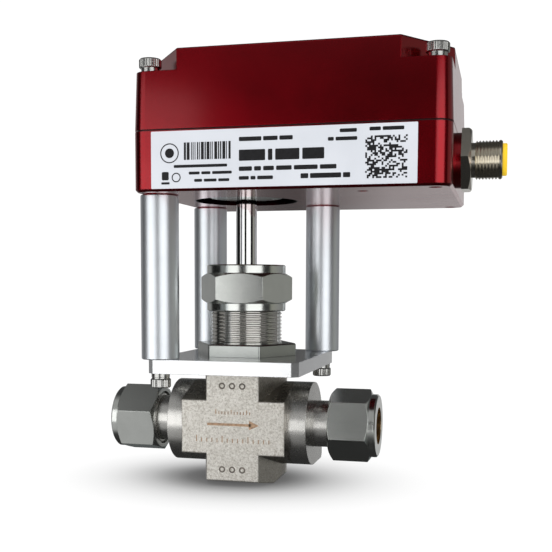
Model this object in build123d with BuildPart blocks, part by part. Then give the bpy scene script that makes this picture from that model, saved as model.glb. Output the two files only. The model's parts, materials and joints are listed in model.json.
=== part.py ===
"""Motorised valve actuator standing on three posts over a needle valve.

Millimetres, +Z up. The origin is where the valve's stem axis crosses the axis of its two tube
ports: +X runs along the ports towards the electrical connector, +Y to the back.
"""

from math import acos, cos, hypot, pi, radians, sin, tan
import os

from build123d import *

os.makedirs("parts", exist_ok=True)

# ---------------------------------------------------------------- driving dimensions
FIT = 0.05  # radial gap of a screw, bearing or shaft in its hole
SLIP = 0.20  # gap between surfaces that pass each other freely

# levels above the port axis
SEAT_Z = 19.25  # top of the valve body, where the mounting plate lies
PLATE_T = 4.75
PLATE_TOP_Z = SEAT_Z + PLATE_T
PANEL_NUT_H = 4.4
CASE_BOTTOM_Z = 78.5
JOINT_Z = 97.6  # rim of the lower case
GASKET_T = 0.4
COVER_Z = JOINT_Z + GASKET_T
CASE_TOP_Z = 123.1
LEDGE_Z = 116.3  # corner ledges that the cover screws stand on

# case outline
CASE_X = (-27.1, 74.0)
CASE_Y = (-40.3, 44.3)
CASE_LENGTH = CASE_X[1] - CASE_X[0]
CASE_DEPTH = CASE_Y[1] - CASE_Y[0]
CASE_MID = ((CASE_X[0] + CASE_X[1]) / 2, (CASE_Y[0] + CASE_Y[1]) / 2)
CASE_CORNER_R = 5.0
CASE_WALL = 3.0
FLOOR_T = 3.0
FLOOR_TOP_Z = CASE_BOTTOM_Z + FLOOR_T
COVER_DRAFT = 2.0  # degrees
COVER_ROOF_T = 2.8
NOTCH_X = 16.0  # legs of the corner notches in the cover
NOTCH_Y = 21.5
SCREW_INSET = 5.0  # cover screws, from the outer faces
SCREW_X = CASE_LENGTH - 2 * SCREW_INSET
SCREW_Y = CASE_DEPTH - 2 * SCREW_INSET
CORNER_WEB = 10.0  # solid corner of the lower case that takes a cover screw
M4_R = 2.0

# valve
BODY_HALF_DEPTH = 18.0
PAD_ARM = 9.25  # half width of the arms of the cross-shaped pads
PAD_REACH = 18.4
DRUM_R = 14.7
DRUM_X = (17.5, 25.0)
NECK_R = 8.2
FITTING_R = 9.525
FITTING_X = (31.8, 41.5)
TUBE_R = 6.4  # bore that the 12.7 mm tube slides into
TUBE_STOP_X = 27.0
NUT_X = (31.5, 48.1)
NUT_FLATS = 22.225
NUT_HEX_H = 14.3
NUT_COLLAR_R = 11.0
BONNET_R = 12.7
BONNET_TOP_Z = 46.5
BONNET_PITCH = 1.27
PASSAGE_R = 3.9
ORIFICE_R = 3.2
ORIFICE_Z = 1.0
CHAMBER_R = 5.6
CHAMBER_TOP_Z = 12.0
STEM_THREAD_R = 4.75
PACKING_BOX_R = 7.5
PACKING_BOX_Z = 34.5
STEM_R = 3.7
PACKING_NUT_Z = 39.7
PACKING_NUT_FLATS = 28.6
PACKING_NUT_TOP_Z = 56.0
PACKING_NUT_TURN = 5.3
PANEL_NUT_FLATS = 31.75

# mounting plate and posts
PLATE_X = 51.8
PLATE_Y = 62.4
PLATE_CORNER = 2.2
POST_R = 6.35
POST_X = 22.3
POST_Y = 27.3
POSTS = {
    "front_left": (-POST_X, -POST_Y),
    "rear_left": (-POST_X, POST_Y),
    "rear_right": (POST_X, POST_Y),
}
POST_SCREW_R = 2.0

# gear train: stub teeth, every gear in one plane
MODULE = 1.0
PRESSURE = radians(20)
ADDENDUM = 0.8 * MODULE
DEDENDUM = 1.05 * MODULE
BACKLASH = 0.16
OUTPUT_TEETH = 44
IDLER_TEETH = 30
PINION_TEETH = 16
SENSOR_TEETH = 20
GEAR_Z = (83.2, 88.2)
GEAR_H = GEAR_Z[1] - GEAR_Z[0]
IDLER_ANGLE = radians(0)
PINION_ANGLE = radians(40)
SENSOR_ANGLE = radians(-50)

# gear plate and what stands on it
DECK_Z = (89.0, 92.0)
DECK_X = (-20.0, 64.0)
DECK_Y = (-36.0, 38.0)
DECK_POSTS = ((-4.0, -32.0), (-4.0, 34.0), (58.0, -26.0), (40.0, 34.0))
RECESS_R = 18.0
HUB_FLANGE_R = 13.0
HUB_BOTTOM_Z = CASE_BOTTOM_Z + 1.1
HUB_R = 7.5
HUB_TOP_Z = 106.5
HUB_BORE_TOP_Z = 90.0
SOCKET_TOP_Z = 104.0
SQUARE = 5.4  # square drive at the stem's top
STEM_SQUARE_Z = (84.0, 97.5)
BEARING_R = 12.0
BEARING_H = 5.0
BEARING_Z = (93.0, 99.2)
HOUSING_R = 15.4
HOUSING_TOP_Z = 105.0
BOARD_Z = 109.0
BOARD_T = 1.6
BOARD_POSTS = ((-16.0, -9.0), (-10.0, 31.0), (34.0, -7.0), (30.0, 33.0))

# connector
CONNECTOR_Y = -20.0
CONNECTOR_Z = (CASE_BOTTOM_Z + JOINT_Z) / 2
CONNECTOR_BOSS_R = 8.6
CONNECTOR_BOSS_H = 2.0
CONNECTOR_HEX = 18.6
CONNECTOR_HEX_H = 3.0
CONNECTOR_THREAD_R = 6.0
CONNECTOR_REACH = 14.3
CONNECTOR_PITCH = 1.0
CONNECTOR_HOLE_R = 5.6
SEAL_R = 7.6
SEAL_T = 0.8


# ---------------------------------------------------------------- helpers
def write(piece, name):
    """Labels a finished piece and writes it as parts/NAME.step."""
    piece.part.label = name
    export_step(piece.part, f"parts/{name}.step")


def level(z, x=0.0, y=0.0):
    """Horizontal plane at height z, with its origin over (x, y)."""
    return Plane(origin=(x, y, z))


def along_x(side, x, y=0.0, z=0.0):
    """Plane at x whose normal points along +X (side 1) or -X (side -1)."""
    return Plane(origin=(x, y, z), x_dir=(0, side, 0), z_dir=(side, 0, 0))


def disc(plane, radius, height, inner=0.0, mode=Mode.ADD):
    """Cylinder or ring standing on a plane."""
    with BuildSketch(plane) as outline:
        Circle(radius)
        if inner:
            Circle(inner, mode=Mode.SUBTRACT)
    extrude(outline.sketch, amount=height, mode=mode)


def turned(plane, profile, mode=Mode.ADD):
    """Turned shape about a plane's normal, from (radius, height) points."""
    with BuildSketch(Plane(origin=plane.origin, x_dir=plane.x_dir, z_dir=-plane.y_dir)) as outline:
        with BuildLine():
            Polyline(*profile, close=True)
        make_face()
    revolve(outline.sketch, axis=Axis(plane.origin, plane.z_dir), mode=mode)


def polygon(plane, points, height, mode=Mode.ADD, taper=0.0):
    """Prism standing on a plane, from the corners of its outline."""
    with BuildSketch(plane) as outline:
        with BuildLine():
            Polyline(*points, close=True)
        make_face()
    extrude(outline.sketch, amount=height, taper=taper, mode=mode)


def hexagon(plane, flats, height, turn=0.0, ends=(True, True), mode=Mode.ADD):
    """Hexagonal prism whose corners are turned down at 30 degrees at the chosen ends."""
    corner_r = flats / 2 / cos(pi / 6)
    rim_r = 0.985 * flats / 2
    bevel = (corner_r - rim_r) * tan(pi / 6)
    low = bevel if ends[0] else 0.0
    high = bevel if ends[1] else 0.0
    outline = [(0, 0), (rim_r if low else corner_r, 0)]
    if low:
        outline.append((corner_r, low))
    outline.append((corner_r, height - high))
    if high:
        outline.append((rim_r, height))
    outline.append((0, height))
    with BuildPart(mode=Mode.PRIVATE) as prism:
        with BuildSketch(plane):
            RegularPolygon(flats / 2, 6, major_radius=False, rotation=turn)
        extrude(amount=height)
        turned(plane, outline, mode=Mode.INTERSECT)
    add(prism.part, mode=mode)


def cap_screw(plane, shank_r, shank_length, head_r, head_h, key):
    """Socket-head screw: its head stands on the plane and its shank goes the other way."""
    rim = 0.3
    turned(
        plane,
        [
            (0, -shank_length),
            (shank_r - rim, -shank_length),
            (shank_r, rim - shank_length),
            (shank_r, 0),
            (head_r, 0),
            (head_r, head_h - rim),
            (head_r - rim, head_h),
            (0, head_h),
        ],
    )
    with BuildSketch(plane.offset(head_h)) as socket:
        RegularPolygon(key / 2, 6, major_radius=False)
    extrude(socket.sketch, amount=-0.6 * head_h, mode=Mode.SUBTRACT)


def thread_profile(radius, start, turns, pitch, depth):
    """(radius, height) points of a thread's crests and roots, from its lower end."""
    points = []
    for turn in range(turns):
        base = start + turn * pitch
        points += [
            (radius, base + 0.07 * pitch),
            (radius - depth, base + 0.45 * pitch),
            (radius - depth, base + 0.55 * pitch),
            (radius, base + 0.93 * pitch),
        ]
    return points


# ---------------------------------------------------------------- valve body
PORT_BEND_X = 7.5  # where the sloped passages meet the orifice and the chamber
BODY_BOTTOM_Z = -20.6
PAD_BOTTOM_Z = -18.65
FOOT_HALF_DEPTH = 8.0  # the bottom is level this far to the front and back
LUG_CORNER = 13.4  # squared lower back corners of the drums
CORNER_CUT_X = 12.3  # bevelled lower sides start here
CLEAR = 1.0  # how far cutting shapes run past the metal

with BuildPart() as valve_body:
    # run between the ports: front and back pads drawn out of a round barrel
    with BuildSketch(Plane.YZ.offset(-PAD_REACH)):
        Circle(DRUM_R)
        Rectangle(2 * BODY_HALF_DEPTH, 2 * PAD_ARM)
        make_hull()
    extrude(amount=2 * PAD_REACH)
    # upright of the cross, from the foot to the seat
    with BuildSketch(level(BODY_BOTTOM_Z)):
        Circle(DRUM_R)
        Rectangle(2 * PAD_ARM, 2 * BODY_HALF_DEPTH)
        make_hull()
    extrude(amount=SEAT_Z - BODY_BOTTOM_Z)
    for side in (1, -1):
        polygon(
            Plane.YZ.offset(-2 * DRUM_R),
            [
                (side * FOOT_HALF_DEPTH, BODY_BOTTOM_Z),
                (side * BODY_HALF_DEPTH, PAD_BOTTOM_Z),
                (side * (BODY_HALF_DEPTH + CLEAR), PAD_BOTTOM_Z),
                (side * (BODY_HALF_DEPTH + CLEAR), BODY_BOTTOM_Z - CLEAR),
                (side * FOOT_HALF_DEPTH, BODY_BOTTOM_Z - CLEAR),
            ],
            4 * DRUM_R,
            mode=Mode.SUBTRACT,
        )
        cut = DRUM_R - CORNER_CUT_X + CLEAR
        polygon(
            Plane(origin=(0, BODY_HALF_DEPTH, 0), x_dir=(1, 0, 0), z_dir=(0, -1, 0)),
            [
                (side * CORNER_CUT_X, BODY_BOTTOM_Z),
                (side * (CORNER_CUT_X + cut), BODY_BOTTOM_Z),
                (side * (CORNER_CUT_X + cut), BODY_BOTTOM_Z + cut),
            ],
            2 * BODY_HALF_DEPTH,
            mode=Mode.SUBTRACT,
        )
    pad_edges = [
        edge
        for edge in valve_body.edges()
        if abs(abs(edge.center().Y) - BODY_HALF_DEPTH) < 0.01
    ]
    fillet(pad_edges, 0.5)
    # drums, squared at their lower back corners
    for start in (DRUM_X[0], -DRUM_X[1]):
        with BuildSketch(Plane.YZ.offset(start)):
            Circle(DRUM_R)
            with BuildLine():
                Polyline(
                    (0, 0),
                    (DRUM_R, 0),
                    (DRUM_R, -LUG_CORNER),
                    (LUG_CORNER, -DRUM_R),
                    (0, -DRUM_R),
                    close=True,
                )
            make_face()
        extrude(amount=DRUM_X[1] - DRUM_X[0])
    for side in (1, -1):
        disc(along_x(side, side * DRUM_X[1]), NECK_R, FITTING_X[0] - DRUM_X[1])
        turned(
            along_x(side, side * FITTING_X[0]),
            [
                (0, 0),
                (FITTING_R - 0.7, 0),
                (FITTING_R, 0.7),
                (FITTING_R, FITTING_X[1] - FITTING_X[0] - 0.7),
                (FITTING_R - 0.7, FITTING_X[1] - FITTING_X[0]),
                (0, FITTING_X[1] - FITTING_X[0]),
            ],
        )
    # bonnet with its outside thread
    first_turn = PLATE_TOP_Z + PANEL_NUT_H + 0.2
    turned(
        level(0),
        [(0, 10), (BONNET_R, 10)]
        + thread_profile(BONNET_R, first_turn, 9, BONNET_PITCH, 0.62)
        + [(BONNET_R, BONNET_TOP_Z - 0.8), (BONNET_R - 0.8, BONNET_TOP_Z), (0, BONNET_TOP_Z)],
    )
    # packing box, stem thread, chamber and orifice
    disc(level(PACKING_BOX_Z), PACKING_BOX_R, 20, mode=Mode.SUBTRACT)
    disc(level(CHAMBER_TOP_Z), STEM_THREAD_R + FIT, 30, mode=Mode.SUBTRACT)
    disc(level(ORIFICE_Z), CHAMBER_R, CHAMBER_TOP_Z - ORIFICE_Z, mode=Mode.SUBTRACT)
    disc(level(ORIFICE_Z - PORT_BEND_X - 2), ORIFICE_R, 12, mode=Mode.SUBTRACT)
    # sockets for the tubes, and the sloped passages from them
    for side, bend_x in ((-1, 0.0), (1, CHAMBER_R / 2)):
        disc(along_x(side, side * TUBE_STOP_X), TUBE_R, 20, mode=Mode.SUBTRACT)
        mouth = Vector(side * (TUBE_STOP_X + 0.5), 0, 0)
        bend = Vector(bend_x, 0, side * PORT_BEND_X)
        passage = mouth - bend
        disc(Plane(origin=bend, z_dir=passage), PASSAGE_R, passage.length, mode=Mode.SUBTRACT)
write(valve_body, "valve_body")

# ---------------------------------------------------------------- valve stem and packing
with BuildPart() as valve_stem:
    shoulder_z = STEM_SQUARE_Z[0]
    turned(
        level(0),
        [
            (0, -4.5),
            (0.9, -4.5),
            (3.4, 1.6),
            (3.4, CHAMBER_TOP_Z + 1.6),
            (STEM_THREAD_R, CHAMBER_TOP_Z + 2.4),
            (STEM_THREAD_R, CHAMBER_TOP_Z + 15.6),
            (STEM_R, CHAMBER_TOP_Z + 16.4),
            (STEM_R, shoulder_z - 0.4),
            (STEM_R - 0.4, shoulder_z),
            (0, shoulder_z),
        ],
    )
    with BuildSketch(level(shoulder_z - 1)):
        RectangleRounded(SQUARE, SQUARE, 0.5)
    extrude(amount=STEM_SQUARE_Z[1] - shoulder_z + 1)
write(valve_stem, "valve_stem")

PACKING_BORE = STEM_R + FIT
RING_H = 2.2
SUPPORT_H = 1.5
PACKING_Z = PACKING_BOX_Z + SUPPORT_H
GLAND_Z = PACKING_Z + 3 * RING_H

with BuildPart() as packing_support:
    disc(level(PACKING_BOX_Z), PACKING_BOX_R - FIT, SUPPORT_H, inner=PACKING_BORE)
write(packing_support, "packing_support_washer")

with BuildPart() as packing_rings:
    for ring in range(3):
        base = PACKING_Z + ring * RING_H
        crown = 0.5
        turned(
            level(0),
            [
                (PACKING_BORE, base + FIT),
                ((PACKING_BORE + PACKING_BOX_R) / 2, base + crown),
                (PACKING_BOX_R - FIT, base + FIT),
                (PACKING_BOX_R - FIT, base + RING_H - crown),
                ((PACKING_BORE + PACKING_BOX_R) / 2, base + RING_H - FIT),
                (PACKING_BORE, base + RING_H - crown),
            ],
        )
write(packing_rings, "packing_rings")

GLAND_FLANGE_Z = BONNET_TOP_Z + 0.6
NUT_ROOF_Z = 50.5

with BuildPart() as packing_gland:
    turned(
        level(0),
        [
            (PACKING_BORE + FIT, GLAND_Z),
            (PACKING_BOX_R - SLIP / 2, GLAND_Z),
            (PACKING_BOX_R - SLIP / 2, GLAND_FLANGE_Z),
            (BONNET_R - 2.5, GLAND_FLANGE_Z),
            (BONNET_R - 2.5, NUT_ROOF_Z),
            (PACKING_BORE + FIT, NUT_ROOF_Z),
        ],
    )
write(packing_gland, "packing_gland")

NUT_COLLAR_LOW = 2.8
NUT_COLLAR_HIGH = 3.0
PACKING_COLLAR_R = 14.0

with BuildPart() as packing_nut:
    hexagon(
        level(PACKING_NUT_Z + NUT_COLLAR_LOW),
        PACKING_NUT_FLATS,
        PACKING_NUT_TOP_Z - PACKING_NUT_Z - NUT_COLLAR_LOW - NUT_COLLAR_HIGH,
        turn=PACKING_NUT_TURN,
    )
    rim = 0.35
    turned(
        level(0),
        [
            (0, PACKING_NUT_Z),
            (PACKING_COLLAR_R - rim, PACKING_NUT_Z),
            (PACKING_COLLAR_R, PACKING_NUT_Z + rim),
            (PACKING_COLLAR_R, PACKING_NUT_TOP_Z - rim),
            (PACKING_COLLAR_R - rim, PACKING_NUT_TOP_Z),
            (0, PACKING_NUT_TOP_Z),
        ],
    )
    disc(level(PACKING_NUT_Z), BONNET_R + FIT, NUT_ROOF_Z - PACKING_NUT_Z, mode=Mode.SUBTRACT)
    disc(level(PACKING_NUT_Z), STEM_R + 0.3, 20, mode=Mode.SUBTRACT)
write(packing_nut, "packing_nut")

with BuildPart() as panel_nut:
    with BuildSketch(level(PLATE_TOP_Z)):
        RegularPolygon(PANEL_NUT_FLATS / 2, 6, major_radius=False)
    extrude(amount=PANEL_NUT_H)
    fillet(panel_nut.edges().filter_by(Axis.Z), 0.8)
    chamfer(panel_nut.faces().sort_by(Axis.Z)[-1].edges(), 0.45)
    disc(level(PLATE_TOP_Z), BONNET_R + FIT, PANEL_NUT_H, mode=Mode.SUBTRACT)
write(panel_nut, "panel_nut")

# ---------------------------------------------------------------- tube fittings
FERRULE_FRONT_X = (FITTING_X[1], 44.3)
FERRULE_BACK_X = (44.3, 46.0)
NUT_THREAD_END = 10.2
NUT_EXIT = 14.6
NUT_LENGTH = NUT_X[1] - NUT_X[0]
NUT_TURNS = {"left": 16.0, "right": 16.0}


def build_fitting(side, end):
    """Nut and both ferrules of one tube port; heights run outwards from the nut's inner end."""
    base = along_x(side, side * NUT_X[0])
    with BuildPart() as nut:
        hexagon(base, NUT_FLATS, NUT_HEX_H, turn=NUT_TURNS[end])
        turned(
            base,
            [
                (0, 1),
                (NUT_COLLAR_R, 1),
                (NUT_COLLAR_R, NUT_LENGTH - 0.5),
                (NUT_COLLAR_R - 0.5, NUT_LENGTH),
                (0, NUT_LENGTH),
            ],
        )
        cone = FERRULE_FRONT_X[0] - NUT_X[0]
        turned(
            base,
            [
                (0, 0),
                (FITTING_R + 0.1, 0),
                (FITTING_R + 0.1, NUT_THREAD_END),
                (8.3, NUT_THREAD_END + 0.6),
                (8.3, cone + 2.6),
                (7.6, NUT_EXIT),
                (TUBE_R, NUT_EXIT),
                (TUBE_R, NUT_LENGTH),
                (0, NUT_LENGTH),
            ],
            mode=Mode.SUBTRACT,
        )
        disc(base, TUBE_R, NUT_LENGTH, mode=Mode.SUBTRACT)
    write(nut, f"tube_nut_{end}")
    long = FERRULE_FRONT_X[1] - FERRULE_FRONT_X[0]
    with BuildPart() as front:
        turned(
            along_x(side, side * FERRULE_FRONT_X[0]),
            [(TUBE_R, 0), (7.2, 0), (8.1, 1.4), (8.1, long), (TUBE_R, long)],
        )
    write(front, f"front_ferrule_{end}")
    long = FERRULE_BACK_X[1] - FERRULE_BACK_X[0]
    with BuildPart() as back:
        turned(
            along_x(side, side * FERRULE_BACK_X[0]),
            [(TUBE_R, 0), (7.9, 0), (7.4, long), (TUBE_R, long)],
        )
    write(back, f"back_ferrule_{end}")


build_fitting(-1, "left")
build_fitting(1, "right")

# ---------------------------------------------------------------- mounting plate and posts
STUD_HEAD_H = 3.6
WASHER_H = 1.3
PLATE_HOLE_R = POST_SCREW_R + 0.15

with BuildPart() as mounting_plate:
    with BuildSketch(level(SEAT_Z)):
        Rectangle(PLATE_X, PLATE_Y)
        chamfer(vertices(), PLATE_CORNER)
        Circle(BONNET_R + SLIP, mode=Mode.SUBTRACT)
        with Locations(*POSTS.values()):
            Circle(PLATE_HOLE_R, mode=Mode.SUBTRACT)
    extrude(amount=PLATE_T)
write(mounting_plate, "mounting_plate")

for place, (x, y) in POSTS.items():
    with BuildPart() as post:
        turned(
            level(0, x, y),
            [
                (0, PLATE_TOP_Z),
                (POST_R - 0.3, PLATE_TOP_Z),
                (POST_R, PLATE_TOP_Z + 0.3),
                (POST_R, CASE_BOTTOM_Z - 0.3),
                (POST_R - 0.3, CASE_BOTTOM_Z),
                (0, CASE_BOTTOM_Z),
            ],
        )
        for end_z in (PLATE_TOP_Z, CASE_BOTTOM_Z - 14):
            disc(level(end_z, x, y), POST_SCREW_R + FIT, 14, mode=Mode.SUBTRACT)
    write(post, f"support_post_{place}")

with BuildPart() as plate_screws:
    for x, y in POSTS.values():
        under = Plane(origin=(x, y, SEAT_Z - WASHER_H), x_dir=(1, 0, 0), z_dir=(0, 0, -1))
        cap_screw(under, POST_SCREW_R, WASHER_H + PLATE_T + 12, 3.45, STUD_HEAD_H, 3.0)
write(plate_screws, "plate_screws")

with BuildPart() as lock_washers:
    for x, y in POSTS.values():
        disc(level(SEAT_Z - WASHER_H, x, y), 3.1, WASHER_H, inner=POST_SCREW_R + FIT)
        with BuildSketch(level(SEAT_Z - WASHER_H, x + 2.6, y)):
            Rectangle(2.0, 0.5, rotation=15)
        extrude(amount=WASHER_H, mode=Mode.SUBTRACT)
write(lock_washers, "lock_washers")

with BuildPart() as post_studs:
    for x, y in POSTS.values():
        disc(level(CASE_BOTTOM_Z - 12, x, y), POST_SCREW_R, 20)
    chamfer(post_studs.edges().filter_by(GeomType.CIRCLE), 0.3)
write(post_studs, "post_studs")

# ---------------------------------------------------------------- case
SCREW_SPOTS = GridLocations(SCREW_X, SCREW_Y, 2, 2).locations
SCREW_XY = [(CASE_MID[0] + spot.position.X, CASE_MID[1] + spot.position.Y) for spot in SCREW_SPOTS]
INNER_LENGTH = CASE_LENGTH - 2 * CASE_WALL
INNER_DEPTH = CASE_DEPTH - 2 * CASE_WALL
CABLE_HOLE_R = 1.7
CABLE_HOLE_XY = (45.9, -28.2)
POST_BOSS_R = 4.5
POST_BOSS_TOP_Z = 88.0


def cut_rectangle(length, depth, leg_x, leg_y):
    """Outline of a rectangle whose four corners are cut off slantwise."""
    half_x = length / 2
    half_y = depth / 2
    quarter = [(half_x, half_y - leg_y), (half_x - leg_x, half_y)]
    points = []
    for sign_x, sign_y in ((1, 1), (-1, 1), (-1, -1), (1, -1)):
        corner = [(sign_x * x, sign_y * y) for x, y in quarter]
        points += corner if sign_x * sign_y > 0 else corner[::-1]
    return points


def case_level(z):
    """Horizontal plane at height z, centred on the case."""
    return level(z, *CASE_MID)


with BuildPart() as lower_case:
    with BuildSketch(case_level(CASE_BOTTOM_Z)):
        RectangleRounded(CASE_LENGTH, CASE_DEPTH, CASE_CORNER_R)
    extrude(amount=JOINT_Z - CASE_BOTTOM_Z)
    chamfer(lower_case.edges().group_by(Axis.Z)[0], 0.8)
    disc(along_x(1, CASE_X[1], CONNECTOR_Y, CONNECTOR_Z), CONNECTOR_BOSS_R, CONNECTOR_BOSS_H)
    polygon(
        case_level(FLOOR_TOP_Z),
        cut_rectangle(INNER_LENGTH, INNER_DEPTH, CORNER_WEB, CORNER_WEB),
        JOINT_Z - FLOOR_TOP_Z,
        mode=Mode.SUBTRACT,
    )
    disc(level(CASE_BOTTOM_Z), RECESS_R, FLOOR_T, mode=Mode.SUBTRACT)
    for x, y in SCREW_XY:
        disc(level(CASE_BOTTOM_Z, x, y), M4_R + FIT, JOINT_Z - CASE_BOTTOM_Z, mode=Mode.SUBTRACT)
    for x, y in POSTS.values():
        disc(level(FLOOR_TOP_Z, x, y), POST_BOSS_R, POST_BOSS_TOP_Z - FLOOR_TOP_Z)
        depth = POST_BOSS_TOP_Z - CASE_BOTTOM_Z
        disc(level(CASE_BOTTOM_Z, x, y), POST_SCREW_R + FIT, depth, mode=Mode.SUBTRACT)
    disc(level(CASE_BOTTOM_Z, *CABLE_HOLE_XY), CABLE_HOLE_R, FLOOR_T, mode=Mode.SUBTRACT)
    disc(
        along_x(1, CASE_X[1] - CASE_WALL, CONNECTOR_Y, CONNECTOR_Z),
        CONNECTOR_HOLE_R + FIT,
        CASE_WALL + CONNECTOR_BOSS_H,
        mode=Mode.SUBTRACT,
    )
    disc(
        along_x(1, CASE_X[1] + CONNECTOR_BOSS_H, CONNECTOR_Y, CONNECTOR_Z),
        SEAL_R + FIT,
        -SEAL_T,
        mode=Mode.SUBTRACT,
    )
write(lower_case, "lower_case")

GASKET_INSET = 0.9

with BuildPart() as cover_gasket:
    with BuildSketch(case_level(JOINT_Z)):
        RectangleRounded(
            CASE_LENGTH - 2 * GASKET_INSET, CASE_DEPTH - 2 * GASKET_INSET, CASE_CORNER_R - GASKET_INSET
        )
        with BuildLine():
            Polyline(*cut_rectangle(INNER_LENGTH, INNER_DEPTH, NOTCH_X, NOTCH_Y), close=True)
        make_face(mode=Mode.SUBTRACT)
    extrude(amount=GASKET_T)
    for x, y in SCREW_XY:
        disc(level(JOINT_Z, x, y), M4_R + FIT, GASKET_T, mode=Mode.SUBTRACT)
write(cover_gasket, "cover_gasket")

# the cover's cavity keeps clear of the slanted notch walls
NOTCH_WALL = 2.5
notch_scale = 1 + NOTCH_WALL * hypot(1 / NOTCH_X, 1 / NOTCH_Y)
CAVITY_LEG_X = NOTCH_X * (notch_scale - CASE_WALL / NOTCH_Y) - CASE_WALL
CAVITY_LEG_Y = NOTCH_Y * (notch_scale - CASE_WALL / NOTCH_X) - CASE_WALL

with BuildPart() as upper_cover:
    with BuildSketch(case_level(COVER_Z)):
        RectangleRounded(CASE_LENGTH, CASE_DEPTH, CASE_CORNER_R)
    extrude(amount=CASE_TOP_Z - COVER_Z, taper=COVER_DRAFT)
    for sign_x in (1, -1):
        for sign_y in (1, -1):
            corner = (sign_x * (CASE_LENGTH / 2 + 1), sign_y * (CASE_DEPTH / 2 + 1))
            leg_x = sign_x * (NOTCH_X + 1 + NOTCH_X / NOTCH_Y)
            leg_y = sign_y * (NOTCH_Y + 1 + NOTCH_Y / NOTCH_X)
            polygon(
                case_level(LEDGE_Z),
                [corner, (corner[0] - leg_x, corner[1]), (corner[0], corner[1] - leg_y)],
                CASE_TOP_Z - LEDGE_Z,
                mode=Mode.SUBTRACT,
            )
    fillet(upper_cover.edges().group_by(Axis.Z)[-1], 0.6)
    polygon(
        case_level(COVER_Z),
        cut_rectangle(INNER_LENGTH, INNER_DEPTH, CAVITY_LEG_X, CAVITY_LEG_Y),
        CASE_TOP_Z - COVER_ROOF_T - COVER_Z,
        mode=Mode.SUBTRACT,
    )
    for x, y in SCREW_XY:
        disc(level(COVER_Z, x, y), M4_R + 0.15, LEDGE_Z - COVER_Z, mode=Mode.SUBTRACT)
write(upper_cover, "upper_cover")

COVER_SCREW_LENGTH = LEDGE_Z - CASE_BOTTOM_Z - 6.0

with BuildPart() as cover_screws:
    for x, y in SCREW_XY:
        cap_screw(level(LEDGE_Z, x, y), M4_R, COVER_SCREW_LENGTH, 3.6, 4.6, 3.2)
write(cover_screws, "cover_screws")

LABEL_X = (-20.0, 64.0)
LABEL_Z = (79.3, 97.2)
LABEL_T = 0.2

with BuildPart() as rating_label:
    middle = ((LABEL_X[0] + LABEL_X[1]) / 2, CASE_Y[0], (LABEL_Z[0] + LABEL_Z[1]) / 2)
    with BuildSketch(Plane(origin=middle, x_dir=(1, 0, 0), z_dir=(0, -1, 0))):
        RectangleRounded(LABEL_X[1] - LABEL_X[0], LABEL_Z[1] - LABEL_Z[0], 0.8)
    extrude(amount=LABEL_T)
write(rating_label, "rating_label")

# ---------------------------------------------------------------- electrical connector
CONNECTOR_FACE_X = CASE_X[1] + CONNECTOR_BOSS_H
CONNECTOR_TAIL_X = 64.5
CONNECTOR_END_X = CASE_X[1] + CONNECTOR_REACH
INSERT_R = 5.0
INSERT_PROUD = 1.4
PIN_CIRCLE_R = 2.5
PIN_R = 0.5
LOCKNUT_H = 2.4
LOCKNUT_FLATS = 12.9


def connector_plane(x):
    """Plane across the connector's axis at x, facing outwards."""
    return along_x(1, x, CONNECTOR_Y, CONNECTOR_Z)


with BuildPart() as connector_shell:
    hexagon(connector_plane(CONNECTOR_FACE_X), CONNECTOR_HEX, CONNECTOR_HEX_H, ends=(False, True))
    root_x = CONNECTOR_FACE_X + CONNECTOR_HEX_H
    turns = 7
    first_turn = CONNECTOR_END_X - root_x - 0.9 - turns * CONNECTOR_PITCH
    turned(
        connector_plane(root_x),
        [(0, 0), (CONNECTOR_THREAD_R - 0.6, 0), (CONNECTOR_THREAD_R - 0.6, first_turn - 0.3)]
        + [(CONNECTOR_THREAD_R, first_turn)]
        + thread_profile(CONNECTOR_THREAD_R, first_turn, turns, CONNECTOR_PITCH, 0.5)
        + [
            (CONNECTOR_THREAD_R, CONNECTOR_END_X - root_x - 0.4),
            (CONNECTOR_THREAD_R - 0.4, CONNECTOR_END_X - root_x),
            (0, CONNECTOR_END_X - root_x),
        ],
    )
    disc(connector_plane(CONNECTOR_TAIL_X + 2), CONNECTOR_HOLE_R, CONNECTOR_FACE_X - CONNECTOR_TAIL_X - 2)
    disc(connector_plane(CONNECTOR_TAIL_X + 2), INSERT_R + FIT, 30, mode=Mode.SUBTRACT)
write(connector_shell, "connector_shell")

with BuildPart() as connector_seal:
    disc(connector_plane(CONNECTOR_FACE_X - SEAL_T), SEAL_R, SEAL_T, inner=SEAL_R - 1.4)
write(connector_seal, "connector_seal")

with BuildPart() as connector_locknut:
    hexagon(connector_plane(CASE_X[1] - CASE_WALL - LOCKNUT_H), LOCKNUT_FLATS, LOCKNUT_H)
    disc(
        connector_plane(CASE_X[1] - CASE_WALL - LOCKNUT_H),
        CONNECTOR_HOLE_R + FIT,
        LOCKNUT_H,
        mode=Mode.SUBTRACT,
    )
write(connector_locknut, "connector_locknut")

PIN_SPOTS = [(0.0, 0.0)] + [
    (PIN_CIRCLE_R * cos(radians(angle)), PIN_CIRCLE_R * sin(radians(angle)))
    for angle in (45, 135, 225, 315)
]
SOCKET_DEPTH = 7.5

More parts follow.
